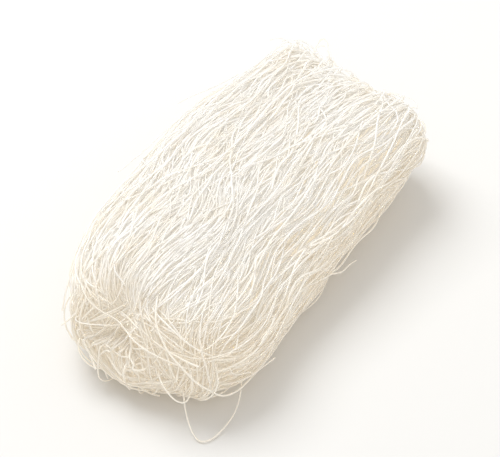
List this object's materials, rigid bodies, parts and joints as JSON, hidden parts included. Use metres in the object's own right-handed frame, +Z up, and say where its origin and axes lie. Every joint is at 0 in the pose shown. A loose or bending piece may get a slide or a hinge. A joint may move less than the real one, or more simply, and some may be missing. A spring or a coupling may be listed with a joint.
{
  "type": "bundle of glass noodles",
  "caption": "Pillow-shaped hank of fine dried glass noodles that turn back at both ends, with loose hairpin loops and stray ends, lying on its broad side.",
  "frame": {"origin": "on the resting face, under the middle of the bundle's box", "axes": "+Z up, +X along the bundle towards its slanted end, +Y towards its longer side"},
  "size_m": [0.1708, 0.0764, 0.0447],
  "materials": {
    "dried_noodle": "translucent, softly glossy dried starch"
  },
  "bodies": {
    "root": {"noodle_bundle": "dried_noodle"}
  },
  "joints": []
}
